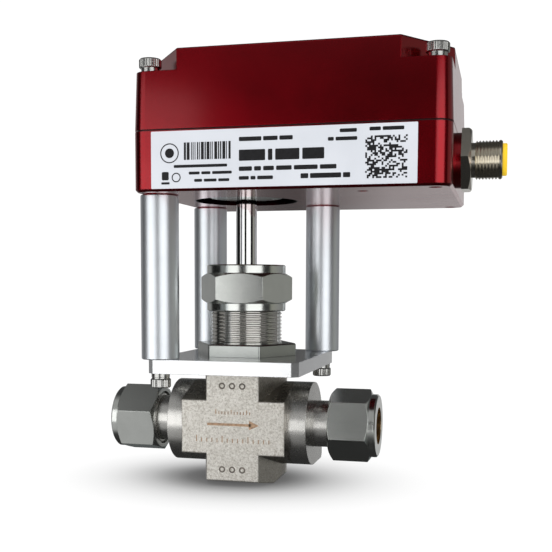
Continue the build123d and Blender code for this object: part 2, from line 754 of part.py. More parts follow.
with BuildPart() as connector_insert:
    insert_start = connector_plane(CONNECTOR_TAIL_X + 3)
    disc(insert_start, INSERT_R, CONNECTOR_END_X + INSERT_PROUD - CONNECTOR_TAIL_X - 3)
    chamfer(connector_insert.faces().sort_by(Axis.X)[-1].edges(), 0.3)
    rim = connector_plane(CONNECTOR_END_X + INSERT_PROUD)
    disc(rim, INSERT_R - 0.9, -SOCKET_DEPTH, mode=Mode.SUBTRACT)
    with BuildSketch(rim):
        with Locations((0, INSERT_R - 1.0)):
            Rectangle(1.2, 1.0)
    extrude(amount=-SOCKET_DEPTH)
    for y, z in PIN_SPOTS:
        disc(
            along_x(1, CONNECTOR_TAIL_X + 3, CONNECTOR_Y + y, CONNECTOR_Z + z),
            PIN_R + FIT,
            30,
            mode=Mode.SUBTRACT,
        )
write(connector_insert, "connector_insert")

with BuildPart() as connector_pins:
    for y, z in PIN_SPOTS:
        length = CONNECTOR_END_X - 0.6 - CONNECTOR_TAIL_X
        turned(
            along_x(1, CONNECTOR_TAIL_X, CONNECTOR_Y + y, CONNECTOR_Z + z),
            [(0, 0), (PIN_R, 0), (PIN_R, length - 0.4), (PIN_R - 0.3, length), (0, length)],
        )
write(connector_pins, "connector_pins")

# ---------------------------------------------------------------- gears
def meshed(centre, teeth, tooth_angle, other_teeth, direction):
    """Centre and tooth angle of a gear in mesh with the one given, in a direction from it."""
    reach = MODULE * (teeth + other_teeth) / 2
    spot = (centre[0] + reach * cos(direction), centre[1] + reach * sin(direction))
    angle = direction + pi - (teeth / other_teeth) * (tooth_angle - direction) - pi / other_teeth
    return spot, angle


def gear_face(teeth, tooth_angle):
    """Spur gear outline with involute flanks, in the sketch being built."""
    pitch_r = MODULE * teeth / 2
    base_r = pitch_r * cos(PRESSURE)
    root_r = pitch_r - DEDENDUM
    tip_r = pitch_r + ADDENDUM
    half_tooth = pi / (2 * teeth) - BACKLASH / (2 * pitch_r)

    def flank_angle(radius):
        pressure = acos(min(1.0, base_r / radius))
        return half_tooth + tan(PRESSURE) - PRESSURE - tan(pressure) + pressure

    def spot(radius, angle):
        return (radius * cos(angle), radius * sin(angle))

    start_r = max(base_r, root_r)
    flank_radii = [start_r + (tip_r - start_r) * step / 3 for step in range(4)]
    with BuildLine() as outline:
        for tooth in range(teeth):
            middle = tooth_angle + 2 * pi * tooth / teeth
            rising = [spot(radius, middle - flank_angle(radius)) for radius in flank_radii]
            falling = [spot(radius, middle + flank_angle(radius)) for radius in reversed(flank_radii)]
            root_in = spot(root_r, middle - flank_angle(start_r))
            root_out = spot(root_r, middle + flank_angle(start_r))
            next_middle = middle + 2 * pi / teeth
            next_root = spot(root_r, next_middle - flank_angle(start_r))
            if root_r < start_r:
                Line(root_in, rising[0])
            Spline(*rising)
            ThreePointArc(rising[-1], spot(tip_r, middle), falling[0])
            Spline(*falling)
            if root_r < start_r:
                Line(falling[-1], root_out)
            ThreePointArc(root_out, spot(root_r, middle + pi / teeth), next_root)
    return make_face(outline.line)


def gear_blank(centre, teeth, tooth_angle, z, height):
    """Toothed disc standing at height z."""
    with BuildSketch(level(z, *centre)) as outline:
        gear_face(teeth, tooth_angle)
    extrude(outline.sketch, amount=height)


OUTPUT_XY = (0.0, 0.0)
OUTPUT_TOOTH = 0.0
IDLER_XY, IDLER_TOOTH = meshed(OUTPUT_XY, OUTPUT_TEETH, OUTPUT_TOOTH, IDLER_TEETH, IDLER_ANGLE)
PINION_XY, PINION_TOOTH = meshed(IDLER_XY, IDLER_TEETH, IDLER_TOOTH, PINION_TEETH, PINION_ANGLE)
SENSOR_XY, SENSOR_TOOTH = meshed(OUTPUT_XY, OUTPUT_TEETH, OUTPUT_TOOTH, SENSOR_TEETH, SENSOR_ANGLE)
GEAR_SCREW_CIRCLE_R = 10.6
GEAR_SCREW_HEAD_R = 2.2
GEAR_SCREW_HEAD_H = 1.8

with BuildPart() as output_gear:
    gear_blank(OUTPUT_XY, OUTPUT_TEETH, OUTPUT_TOOTH, GEAR_Z[0], GEAR_H)
    disc(level(GEAR_Z[0]), HUB_R + FIT, GEAR_H, mode=Mode.SUBTRACT)
    with BuildSketch(level(GEAR_Z[0])):
        with PolarLocations(GEAR_SCREW_CIRCLE_R, 3, start_angle=30):
            Circle(1.25 + FIT)
        with PolarLocations(17.0, 6, start_angle=0):
            Circle(2.8)
    extrude(amount=GEAR_H, mode=Mode.SUBTRACT)
    with BuildSketch(level(GEAR_Z[1])):
        with PolarLocations(GEAR_SCREW_CIRCLE_R, 3, start_angle=30):
            Circle(GEAR_SCREW_HEAD_R + FIT)
    extrude(amount=-GEAR_SCREW_HEAD_H, mode=Mode.SUBTRACT)
write(output_gear, "output_gear")

SPINDLE_R = 3.0
BUSH_R = 4.2

with BuildPart() as idler_gear:
    gear_blank(IDLER_XY, IDLER_TEETH, IDLER_TOOTH, GEAR_Z[0], GEAR_H)
    disc(level(GEAR_Z[0], *IDLER_XY), BUSH_R + FIT, GEAR_H, mode=Mode.SUBTRACT)
    with BuildSketch(level(GEAR_Z[0], *IDLER_XY)):
        with PolarLocations(9.2, 5):
            Circle(2.4)
    extrude(amount=GEAR_H, mode=Mode.SUBTRACT)
write(idler_gear, "idler_gear")

with BuildPart() as idler_bush:
    disc(level(GEAR_Z[0] - 0.4, *IDLER_XY), BUSH_R, GEAR_H + 0.6, inner=SPINDLE_R + FIT)
write(idler_bush, "idler_bush")

with BuildPart() as idler_spindle:
    disc(level(FLOOR_TOP_Z, *IDLER_XY), SPINDLE_R + 1.8, GEAR_Z[0] - FLOOR_TOP_Z - 0.6)
    disc(level(FLOOR_TOP_Z, *IDLER_XY), SPINDLE_R, DECK_Z[1] - FLOOR_TOP_Z)
write(idler_spindle, "idler_spindle")

MOTOR_SHAFT_R = 2.0

with BuildPart() as motor_pinion:
    gear_blank(PINION_XY, PINION_TEETH, PINION_TOOTH, GEAR_Z[0], GEAR_H)
    disc(level(GEAR_Z[0], *PINION_XY), MOTOR_SHAFT_R + FIT, GEAR_H, mode=Mode.SUBTRACT)
write(motor_pinion, "motor_pinion")

SENSOR_SHAFT_R = 3.0

with BuildPart() as sensor_gear:
    gear_blank(SENSOR_XY, SENSOR_TEETH, SENSOR_TOOTH, GEAR_Z[0], GEAR_H)
    disc(level(GEAR_Z[0], *SENSOR_XY), SENSOR_SHAFT_R + FIT, GEAR_H, mode=Mode.SUBTRACT)
write(sensor_gear, "sensor_gear")

# ---------------------------------------------------------------- output hub and its bearings
SET_SCREW_R = 1.5
SET_SCREW_Z = 81.4
SET_SCREW_ANGLES = (225, 315)

with BuildPart() as output_hub:
    turned(
        level(0),
        [
            (0, HUB_BOTTOM_Z),
            (HUB_FLANGE_R - 0.4, HUB_BOTTOM_Z),
            (HUB_FLANGE_R, HUB_BOTTOM_Z + 0.4),
            (HUB_FLANGE_R, GEAR_Z[0]),
            (HUB_R, GEAR_Z[0]),
            (HUB_R, HUB_TOP_Z - 0.4),
            (HUB_R - 0.4, HUB_TOP_Z),
            (0, HUB_TOP_Z),
        ],
    )
    disc(level(HUB_BOTTOM_Z), STEM_R + SLIP, HUB_BORE_TOP_Z - HUB_BOTTOM_Z, mode=Mode.SUBTRACT)
    with BuildSketch(level(HUB_BORE_TOP_Z)):
        RectangleRounded(SQUARE + SLIP, SQUARE + SLIP, 0.4)
    extrude(amount=SOCKET_TOP_Z - HUB_BORE_TOP_Z, mode=Mode.SUBTRACT)
    with BuildSketch(level(HUB_BOTTOM_Z)):
        with PolarLocations(GEAR_SCREW_CIRCLE_R, 3, start_angle=30):
            Circle(1.25 + FIT)
    extrude(amount=GEAR_Z[0] - HUB_BOTTOM_Z, mode=Mode.SUBTRACT)
    for angle in SET_SCREW_ANGLES:
        out = Vector(cos(radians(angle)), sin(radians(angle)), 0)
        disc(
            Plane(origin=out * (STEM_R + SLIP) + Vector(0, 0, SET_SCREW_Z), z_dir=out),
            SET_SCREW_R + FIT,
            HUB_FLANGE_R,
            mode=Mode.SUBTRACT,
        )
write(output_hub, "output_hub")

with BuildPart() as hub_set_screws:
    for angle in SET_SCREW_ANGLES:
        out = Vector(cos(radians(angle)), sin(radians(angle)), 0)
        plane = Plane(origin=out * (STEM_R + 2 * SLIP) + Vector(0, 0, SET_SCREW_Z), z_dir=out)
        disc(plane, SET_SCREW_R, HUB_FLANGE_R - STEM_R - 1.6)
        with BuildSketch(plane.offset(HUB_FLANGE_R - STEM_R - 1.6)):
            RegularPolygon(0.75, 6, major_radius=False)
        extrude(amount=-1.5, mode=Mode.SUBTRACT)
write(hub_set_screws, "hub_set_screws")

with BuildPart() as gear_screws:
    for spot in PolarLocations(GEAR_SCREW_CIRCLE_R, 3, start_angle=30).locations:
        seat = level(GEAR_Z[1] - GEAR_SCREW_HEAD_H, spot.position.X, spot.position.Y)
        cap_screw(seat, 1.25, 6.0, GEAR_SCREW_HEAD_R, GEAR_SCREW_HEAD_H - FIT, 1.5)
write(gear_screws, "gear_screws")

BALL_CIRCLE_R = (HUB_R + BEARING_R) / 2
RACE_T = 1.35

with BuildPart() as bearing_inner_rings:
    for z in BEARING_Z:
        disc(level(z), HUB_R + FIT + RACE_T, BEARING_H, inner=HUB_R + FIT)
write(bearing_inner_rings, "bearing_inner_rings")

with BuildPart() as bearing_outer_rings:
    for z in BEARING_Z:
        disc(level(z), BEARING_R, BEARING_H, inner=BEARING_R - RACE_T)
write(bearing_outer_rings, "bearing_outer_rings")

HUB_RING_Z = BEARING_Z[1] + BEARING_H

with BuildPart() as bearing_balls:
    for z in BEARING_Z:
        for spot in PolarLocations(BALL_CIRCLE_R, 12).locations:
            with Locations((spot.position.X, spot.position.Y, z + BEARING_H / 2)):
                Sphere((BALL_CIRCLE_R - HUB_R - RACE_T - FIT) - 0.06)
write(bearing_balls, "bearing_balls")

with BuildPart() as hub_retaining_ring:
    with BuildSketch(level(HUB_RING_Z + 0.1)):
        Circle(HUB_R + 1.6)
        Circle(HUB_R + FIT, mode=Mode.SUBTRACT)
        with Locations((HUB_R + 1, 0)):
            Rectangle(4, 2.4, mode=Mode.SUBTRACT)
    extrude(amount=0.9)
write(hub_retaining_ring, "hub_retaining_ring")

HOUSING_SCREW_CIRCLE_R = HOUSING_R + 2.6

with BuildPart() as bearing_housing:
    with BuildSketch(level(DECK_Z[1])):
        Circle(HOUSING_R)
        for angle in (60, 180, 300):
            with Locations(Location((0, 0), angle)):
                with Locations((HOUSING_R, 0)):
                    Rectangle(2 * 2.6, 6)
        with PolarLocations(HOUSING_SCREW_CIRCLE_R, 3, start_angle=60):
            Circle(3.0)
    extrude(amount=3.0)
    disc(level(DECK_Z[1]), HOUSING_R, HOUSING_TOP_Z - DECK_Z[1] - 0.6)
    disc(level(BEARING_Z[0]), BEARING_R + FIT, 20, mode=Mode.SUBTRACT)
    disc(level(DECK_Z[1]), HUB_R + 1.5, 20, mode=Mode.SUBTRACT)
    with BuildSketch(level(DECK_Z[1])):
        with PolarLocations(HOUSING_SCREW_CIRCLE_R, 3, start_angle=60):
            Circle(1.5 + FIT)
    extrude(amount=3.0, mode=Mode.SUBTRACT)
write(bearing_housing, "bearing_housing")

with BuildPart() as housing_screws:
    for spot in PolarLocations(HOUSING_SCREW_CIRCLE_R, 3, start_angle=60).locations:
        cap_screw(level(DECK_Z[1] + 3.0, spot.position.X, spot.position.Y), 1.5, 5.6, 2.6, 2.4, 2.0)
write(housing_screws, "housing_screws")

# ---------------------------------------------------------------- gear deck, motor and sensor
MOTOR_R = 12.5
MOTOR_BOSS_R = 3.5
GEARBOX_TOP_Z = 104.0
CAN_TOP_Z = 117.2
MOTOR_SCREW_CIRCLE_R = 8.5
SENSOR_BODY_R = 10.8
SENSOR_TOP_Z = 107.5
SENSOR_BUSH_R = 4.75

with BuildPart() as gear_deck:
    left, right = DECK_X
    front, back = DECK_Y
    polygon(
        level(DECK_Z[0]),
        [
            (left, front + 12),
            (left + 12, front),
            (right - 5, front),
            (right, front + 5),
            (right, back - 5),
            (right - 5, back),
            (left + 12, back),
            (left, back - 12),
        ],
        DECK_Z[1] - DECK_Z[0],
    )
    with BuildSketch(level(DECK_Z[0])):
        Circle(HUB_R + 1.5)
        with Locations(IDLER_XY):
            Circle(SPINDLE_R + FIT)
        with Locations(PINION_XY):
            Circle(MOTOR_BOSS_R + FIT)
            with PolarLocations(MOTOR_SCREW_CIRCLE_R, 3, start_angle=90):
                Circle(1.5 + FIT)
        with Locations(SENSOR_XY):
            Circle(SENSOR_BUSH_R + FIT)
        with Locations(*DECK_POSTS, *BOARD_POSTS):
            Circle(1.5 + FIT)
        with PolarLocations(HOUSING_SCREW_CIRCLE_R, 3, start_angle=60):
            Circle(1.5 + FIT)
    extrude(amount=DECK_Z[1] - DECK_Z[0], mode=Mode.SUBTRACT)
write(gear_deck, "gear_deck")

with BuildPart() as deck_standoffs:
    for x, y in DECK_POSTS:
        hexagon(level(FLOOR_TOP_Z, x, y), 5.5, DECK_Z[0] - FLOOR_TOP_Z, ends=(False, False))
        disc(level(FLOOR_TOP_Z, x, y), 1.5 + FIT, DECK_Z[0] - FLOOR_TOP_Z, mode=Mode.SUBTRACT)
write(deck_standoffs, "deck_standoffs")

with BuildPart() as deck_screws:
    for x, y in DECK_POSTS:
        cap_screw(level(DECK_Z[1], x, y), 1.5, 8.0, 2.75, 2.6, 2.5)
write(deck_screws, "deck_screws")

with BuildPart() as motor_gearbox:
    disc(level(DECK_Z[1], *PINION_XY), MOTOR_R, GEARBOX_TOP_Z - DECK_Z[1])
    chamfer(motor_gearbox.edges().filter_by(GeomType.CIRCLE), 0.4)
    disc(level(DECK_Z[0] + 0.6, *PINION_XY), MOTOR_BOSS_R, DECK_Z[1] - DECK_Z[0])
    disc(level(DECK_Z[0], *PINION_XY), MOTOR_SHAFT_R + FIT, 9, mode=Mode.SUBTRACT)
    with BuildSketch(level(DECK_Z[1], *PINION_XY)):
        with PolarLocations(MOTOR_SCREW_CIRCLE_R, 3, start_angle=90):
            Circle(1.5 + FIT)
    extrude(amount=5, mode=Mode.SUBTRACT)
write(motor_gearbox, "motor_gearbox")

with BuildPart() as motor_shaft:
    disc(level(GEAR_Z[0] - 0.6, *PINION_XY), MOTOR_SHAFT_R, DECK_Z[0] + 8.6 - GEAR_Z[0])
write(motor_shaft, "motor_shaft")

with BuildPart() as motor_can:
    disc(level(GEARBOX_TOP_Z, *PINION_XY), MOTOR_R - 0.3, CAN_TOP_Z - GEARBOX_TOP_Z)
    fillet(motor_can.edges().filter_by(GeomType.CIRCLE).sort_by(Axis.Z)[-1], 1.2)
write(motor_can, "motor_can")

with BuildPart() as motor_terminals:
    for side in (1, -1):
        with BuildSketch(level(CAN_TOP_Z, PINION_XY[0] + side * 6.5, PINION_XY[1])):
            Rectangle(0.6, 2.8)
        extrude(amount=2.2)
write(motor_terminals, "motor_terminals")

with BuildPart() as motor_screws:
    for spot in PolarLocations(MOTOR_SCREW_CIRCLE_R, 3, start_angle=90).locations:
        under = Plane(
            origin=(PINION_XY[0] + spot.position.X, PINION_XY[1] + spot.position.Y, DECK_Z[1]),
            x_dir=(1, 0, 0),
            z_dir=(0, 0, -1),
        )
        turned(under, [(0, -4.6), (1.5, -4.6), (1.5, DECK_Z[1] - DECK_Z[0]), (0, DECK_Z[1] - DECK_Z[0])])
write(motor_screws, "motor_screws")

with BuildPart() as position_sensor:
    sensor_base = level(DECK_Z[1], *SENSOR_XY)
    turned(
        sensor_base,
        [
            (SENSOR_SHAFT_R + FIT, DECK_Z[0] - DECK_Z[1] + 0.2),
            (SENSOR_BUSH_R, DECK_Z[0] - DECK_Z[1] + 0.2),
            (SENSOR_BUSH_R, 0),
            (SENSOR_BODY_R, 0),
            (SENSOR_BODY_R, SENSOR_TOP_Z - DECK_Z[1] - 0.6),
            (SENSOR_BODY_R - 0.6, SENSOR_TOP_Z - DECK_Z[1]),
            (0, SENSOR_TOP_Z - DECK_Z[1]),
            (0, 10),
            (SENSOR_SHAFT_R + FIT, 10),
        ],
    )
write(position_sensor, "position_sensor")

with BuildPart() as sensor_shaft:
    disc(level(GEAR_Z[0] - 0.6, *SENSOR_XY), SENSOR_SHAFT_R, DECK_Z[1] + 9.5 - GEAR_Z[0])
write(sensor_shaft, "sensor_shaft")

# ---------------------------------------------------------------- control board
BOARD_X = (-19.5, 38.0)
BOARD_Y = (-12.0, 37.0)
BOARD_CUT = (11.0, 17.0)
TERMINAL_H = 8.4
TERMINAL_XY = (16.0, -6.5)
CHIPS = ((-4.0, 6.0, 10.0, 10.0, 1.5), (16.0, 12.0, 7.5, 10.0, 2.2), (26.0, 26.0, 6.0, 5.0, 1.6))
CAPACITORS = ((2.0, 24.0), (12.0, 26.0))
CAPACITOR_R = 4.0
CAPACITOR_H = 8.0
SWITCH_XY = (-10.0, 20.0)
SWITCH_H = 2.8

with BuildPart() as control_board:
    left, right = BOARD_X
    front, back = BOARD_Y
    polygon(
        level(BOARD_Z),
        [
            (left, front),
            (right, front),
            (right, back),
            (left + BOARD_CUT[0], back),
            (left, back - BOARD_CUT[1]),
        ],
        BOARD_T,
    )
    with BuildSketch(level(BOARD_Z)):
        with Locations(*BOARD_POSTS):
            Circle(1.5 + FIT)
    extrude(amount=BOARD_T, mode=Mode.SUBTRACT)
write(control_board, "control_board")

with BuildPart() as board_standoffs:
    for x, y in BOARD_POSTS:
        hexagon(level(DECK_Z[1], x, y), 4.6, BOARD_Z - DECK_Z[1], ends=(False, False))
        disc(level(DECK_Z[1], x, y), 1.5 + FIT, BOARD_Z - DECK_Z[1], mode=Mode.SUBTRACT)
        disc(level(DECK_Z[0] + 0.4, x, y), 1.5, 6)
write(board_standoffs, "board_standoffs")

with BuildPart() as board_screws:
    for x, y in BOARD_POSTS:
        cap_screw(level(BOARD_Z + BOARD_T, x, y), 1.5, 8.0, 2.6, 2.0, 2.0)
write(board_screws, "board_screws")

with BuildPart() as terminal_block:
    ways = 5
    way_pitch = 5.0
    with BuildSketch(level(BOARD_Z + BOARD_T, *TERMINAL_XY)):
        Rectangle(ways * way_pitch, 7.6)
    extrude(amount=TERMINAL_H)
    chamfer(terminal_block.edges().filter_by(Axis.X).group_by(Axis.Z)[-1], 1.2)
    with BuildSketch(level(BOARD_Z + BOARD_T + TERMINAL_H, *TERMINAL_XY)):
        with GridLocations(way_pitch, 1, ways, 1):
            Circle(1.7)
    extrude(amount=-2.5, mode=Mode.SUBTRACT)
    wire_side = (TERMINAL_XY[0], TERMINAL_XY[1] - 3.8, BOARD_Z + BOARD_T + 2.6)
    with BuildSketch(Plane(origin=wire_side, z_dir=(0, -1, 0))):
        with GridLocations(way_pitch, 1, ways, 1):
            Rectangle(3.0, 2.8)
    extrude(amount=-4.0, mode=Mode.SUBTRACT)
write(terminal_block, "terminal_block")

with BuildPart() as board_components:
    top = BOARD_Z + BOARD_T
    for x, y in CAPACITORS:
        disc(level(top, x, y), CAPACITOR_R, CAPACITOR_H)
    fillet(board_components.edges().filter_by(GeomType.CIRCLE).group_by(Axis.Z)[-1], 0.6)
    for x, y, long, wide, high in CHIPS:
        with BuildSketch(level(top, x, y)):
            Rectangle(long, wide)
        extrude(amount=high)
    with BuildSketch(level(top, *SWITCH_XY)):
        Rectangle(7.0, 9.8)
    extrude(amount=SWITCH_H)
    with BuildSketch(level(top + SWITCH_H, *SWITCH_XY)):
        with GridLocations(1, 2.4, 1, 4):
            Rectangle(3.4, 1.2)
    extrude(amount=-0.6, mode=Mode.SUBTRACT)
write(board_components, "board_components")
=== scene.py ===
"""Looks of the motorised valve actuator: materials, printed and stamped marks, studio, camera."""
import json
import math
import random

import bmesh
import bpy
from mathutils import Matrix, Vector


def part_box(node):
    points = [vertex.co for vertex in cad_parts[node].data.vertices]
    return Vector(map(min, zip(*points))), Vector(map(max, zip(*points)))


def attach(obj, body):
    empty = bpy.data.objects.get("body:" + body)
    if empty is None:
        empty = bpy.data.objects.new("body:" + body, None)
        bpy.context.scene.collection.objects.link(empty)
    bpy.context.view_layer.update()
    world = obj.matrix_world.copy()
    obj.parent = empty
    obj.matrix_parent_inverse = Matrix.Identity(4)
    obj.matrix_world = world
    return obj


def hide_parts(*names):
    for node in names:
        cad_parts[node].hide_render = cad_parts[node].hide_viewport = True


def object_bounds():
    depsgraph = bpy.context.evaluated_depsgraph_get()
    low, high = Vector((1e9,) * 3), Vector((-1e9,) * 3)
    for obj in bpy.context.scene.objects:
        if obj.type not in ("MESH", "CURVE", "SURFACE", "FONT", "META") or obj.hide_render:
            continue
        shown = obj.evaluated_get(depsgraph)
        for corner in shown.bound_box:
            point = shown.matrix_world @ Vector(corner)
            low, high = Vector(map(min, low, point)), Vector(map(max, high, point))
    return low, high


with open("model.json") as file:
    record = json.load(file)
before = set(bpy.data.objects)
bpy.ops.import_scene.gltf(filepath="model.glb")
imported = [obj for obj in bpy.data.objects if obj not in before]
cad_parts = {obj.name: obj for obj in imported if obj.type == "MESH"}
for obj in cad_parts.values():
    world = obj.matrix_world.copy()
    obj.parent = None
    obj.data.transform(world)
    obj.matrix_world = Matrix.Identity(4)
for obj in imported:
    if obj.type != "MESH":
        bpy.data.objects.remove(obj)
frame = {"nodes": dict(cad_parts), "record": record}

cad_box = [list(corner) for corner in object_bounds()]
nodes = frame["nodes"]
MM = 0.001


# ---------------------------------------------------------------- node trees
class Nodes:
    """A node tree under construction: makes nodes and links them."""

    def __init__(self, tree):
        self.tree = tree

    def add(self, kind, **inputs):
        """A new node with its input sockets set by name (underscores stand for spaces)."""
        node = self.tree.nodes.new(kind)
        for key, value in inputs.items():
            node.inputs[key.replace("_", " ")].default_value = value
        return node

    def link(self, source, output, target, socket):
        """Joins two sockets."""
        self.tree.links.new(source.outputs[output], target.inputs[socket])

    def math(self, operation, first, second=None):
        """A maths node over sockets or plain numbers; gives its output socket."""
        node = self.add("ShaderNodeMath")
        node.operation = operation
        for slot, value in zip(node.inputs, (first, second)):
            if isinstance(value, (int, float)):
                slot.default_value = value
            elif value is not None:
                self.tree.links.new(value, slot)
        return node.outputs[0]

    def colour_ramp(self, stops):
        """Colour ramp with its stops set: (position, grey value or colour) pairs."""
        node = self.add("ShaderNodeValToRGB")
        elements = node.color_ramp.elements
        while len(elements) < len(stops):
            elements.new(0.5)
        for element, (position, colour) in zip(elements, stops):
            element.position = position
            element.color = (*colour, 1) if isinstance(colour, tuple) else (colour, colour, colour, 1)
        return node


class Shader(Nodes):
    """A material under construction, round a Principled surface in object coordinates."""

    def __init__(self, name):
        self.material = bpy.data.materials.new(name)
        self.material.use_nodes = True
        super().__init__(self.material.node_tree)
        self.tree.nodes.clear()
        self.output = self.add("ShaderNodeOutputMaterial")
        self.surface = self.add("ShaderNodeBsdfPrincipled")
        self.link(self.surface, "BSDF", self.output, "Surface")
        self.coords = self.add("ShaderNodeTexCoord")

    def set(self, **values):
        """Sets the surface shader's own sockets."""
        for key, value in values.items():
            self.surface.inputs[key.replace("_", " ")].default_value = value

    def place(self, scale=(1, 1, 1)):
        """Object coordinates stretched by a scale."""
        mapping = self.add("ShaderNodeMapping", Scale=scale)
        self.link(self.coords, "Object", mapping, "Vector")
        return mapping

    def noise(self, scale, detail=3.0, roughness=0.6, stretch=(1, 1, 1)):
        """Noise texture in object space."""
        node = self.add("ShaderNodeTexNoise", Scale=scale, Detail=detail, Roughness=roughness)
        self.link(self.place(stretch), "Vector", node, "Vector")
        return node

    def ramp(self, source, output, stops):
        """Colour ramp over a value."""
        node = self.colour_ramp(stops)
        self.link(source, output, node, "Fac")
        return node

    def remap(self, source, output, low, high, from_low=0.3, from_high=0.7):
        """Value stretched from one range into another; the default range suits a noise texture."""
        node = self.add(
            "ShaderNodeMapRange", From_Min=from_low, From_Max=from_high, To_Min=low, To_Max=high
        )
        self.link(source, output, node, "Value")
        return node

    def past(self, distance, limits):
        """0 up to the first limit of a distance and 1 from the second on; gives its output socket."""
        return self.remap(distance.node, distance.name, 0.0, 1.0, *limits).outputs["Result"]

    def reach(self, axes):
        """Distance from the origin in the chosen axes, in metres; gives its output socket."""
        flat = self.add("ShaderNodeVectorMath")
        flat.operation = "MULTIPLY"
        self.link(self.coords, "Object", flat, 0)
        flat.inputs[1].default_value = axes
        length = self.add("ShaderNodeVectorMath")
        length.operation = "LENGTH"
        self.link(flat, "Vector", length, 0)
        return length.outputs["Value"]

    def blend(self, kind, factor, first, second):
        """Two colours or two values mixed by a factor socket."""
        node = self.add("ShaderNodeMix")
        node.data_type = kind
        live = [slot for slot in node.inputs if slot.enabled]
        for slot, source in zip(live, (factor, first, second)):
            self.tree.links.new(source, slot)
        return next(slot for slot in node.outputs if slot.enabled)

    def join(self, output, socket):
        """Feeds an output socket into the surface shader."""
        self.tree.links.new(output, self.surface.inputs[socket])

    def bump(self, source, output, distance, strength=1.0, under=None):
        """Bump node over a height, stacked on another bump if one is given."""
        node = self.add("ShaderNodeBump", Distance=distance, Strength=strength)
        self.link(source, output, node, "Height")
        if under:
            self.link(under, "Normal", node, "Normal")
        return node


# ---------------------------------------------------------------- materials
# Where one finish gives way to another, or where painted shade begins, in metres: the change starts at the
# first value, ends at the second.
# inside this radius and below CASE_FLOOR_TOP the case is given painted shade
STEM_OPENING = (0.0181, 0.0183)  # radius of the opening in the case floor
CASE_FLOOR_TOP = (0.084, 0.085)  # height
PAD_FACE = (0.0172, 0.0178)  # depth of the body's pads, from its middle
DRUM_START = (0.0184, 0.0186)  # along the ports
BONNET_START = (0.0209, 0.0211)  # along the stem
TUBE_BORE = (0.0065, 0.0067)  # radius

EDGE = 0.0003  # how far a tool or a tumbler has broken the edges
CAST_EDGE = 0.0004
THREAD_EDGE = 0.00004


def anodised_aluminium(name, colour, worn):
    """Bead-blasted, dyed and sealed aluminium: fine grain under a glossy skin, with painted shade
    (near-black red, no glossy skin) in the stem opening.
    """
    s = Shader(name)
    s.set(Metallic=1.0, Coat_Roughness=0.12)
    cloud = s.noise(35, 4)
    tint = s.ramp(cloud, "Fac", [(0.3, colour), (0.75, worn)]).outputs["Color"]
    # painted shade: inside the stem opening, below the top of the case floor, the colour turns near-black
    # red and the coat is taken off
    around_stem = s.past(s.reach((1, 1, 0)), STEM_OPENING)
    over_floor = s.past(s.reach((0, 0, 1)), CASE_FLOOR_TOP)
    clear_of_painted_shade = s.math("MAXIMUM", around_stem, over_floor)
    painted_shade = s.add("ShaderNodeRGB").outputs[0]
    painted_shade.default_value = (0.010, 0.0004, 0.0008, 1)
    s.join(s.blend("RGBA", clear_of_painted_shade, painted_shade, tint), "Base Color")
    s.join(s.math("MULTIPLY", clear_of_painted_shade, 0.7), "Coat Weight")
    s.link(s.remap(cloud, "Fac", 0.23, 0.28), "Result", s.surface, "Roughness")
    grain = s.noise(4500, 2, 0.7)
    rounded = s.add("ShaderNodeBevel", Radius=CAST_EDGE)
    grainy = s.bump(grain, "Fac", 0.00001, 0.25, rounded)
    s.link(grainy, "Normal", s.surface, "Normal")
    return s.material


def forged_steel(name):
    """Valve body: blasted pads, smoother forged sides, and turned drums, necks and bonnet thread."""
    s = Shader(name)
    s.set(Metallic=1.0)
    split = s.add("ShaderNodeSeparateXYZ")
    s.link(s.coords, "Object", split, "Vector")

    def beyond(axis, limits):
        """1 where the distance from the origin along an axis is past the limits."""
        return s.past(s.math("ABSOLUTE", split.outputs[axis]), limits)

    on_pad = beyond("Y", PAD_FACE)
    thread = beyond("Z", BONNET_START)
    turned = s.math("MAXIMUM", beyond("X", DRUM_START), thread)

    speck = s.noise(1700, 4, 0.7)
    pad_stops = [(0.30, (0.46, 0.43, 0.37)), (0.5, (0.78, 0.75, 0.69)), (0.68, (0.97, 0.95, 0.89))]
    side_stops = [(0.3, (0.36, 0.33, 0.29)), (0.7, (0.56, 0.53, 0.48))]
    turned_stops = [(0.3, (0.66, 0.65, 0.62)), (0.7, (0.76, 0.75, 0.72))]
    pad_colour = s.ramp(speck, "Fac", pad_stops).outputs["Color"]
    side_colour = s.ramp(speck, "Fac", side_stops).outputs["Color"]
    turned_colour = s.ramp(s.noise(90, 3), "Fac", turned_stops).outputs["Color"]
    forged = s.blend("RGBA", on_pad, side_colour, pad_colour)
    s.join(s.blend("RGBA", turned, forged, turned_colour), "Base Color")

    side_gloss = s.remap(s.noise(260, 3), "Fac", 0.22, 0.34).outputs["Result"]
    pad_gloss = s.remap(s.noise(500, 3), "Fac", 0.42, 0.54).outputs["Result"]
    tool_marks = s.noise(800, 2)
    drum_gloss = s.remap(tool_marks, "Fac", 0.24, 0.30).outputs["Result"]
    thread_gloss = s.remap(tool_marks, "Fac", 0.10, 0.14).outputs["Result"]
    turned_gloss = s.blend("FLOAT", thread, drum_gloss, thread_gloss)
    forged_gloss = s.blend("FLOAT", on_pad, side_gloss, pad_gloss)
    s.join(s.blend("FLOAT", turned, forged_gloss, turned_gloss), "Roughness")

    rounded = s.add("ShaderNodeBevel")
    s.link(s.remap(thread.node, "Result", CAST_EDGE, THREAD_EDGE), "Result", rounded, "Radius")
    pit_noise = s.noise(1500, 3, 0.7).outputs["Fac"]
    depth = s.math("MULTIPLY", pit_noise, s.math("SUBTRACT", 1.0, turned))
    pits = s.bump(depth.node, "Value", 0.00012, 0.5, rounded)
    s.link(pits, "Normal", s.surface, "Normal")
    return s.material


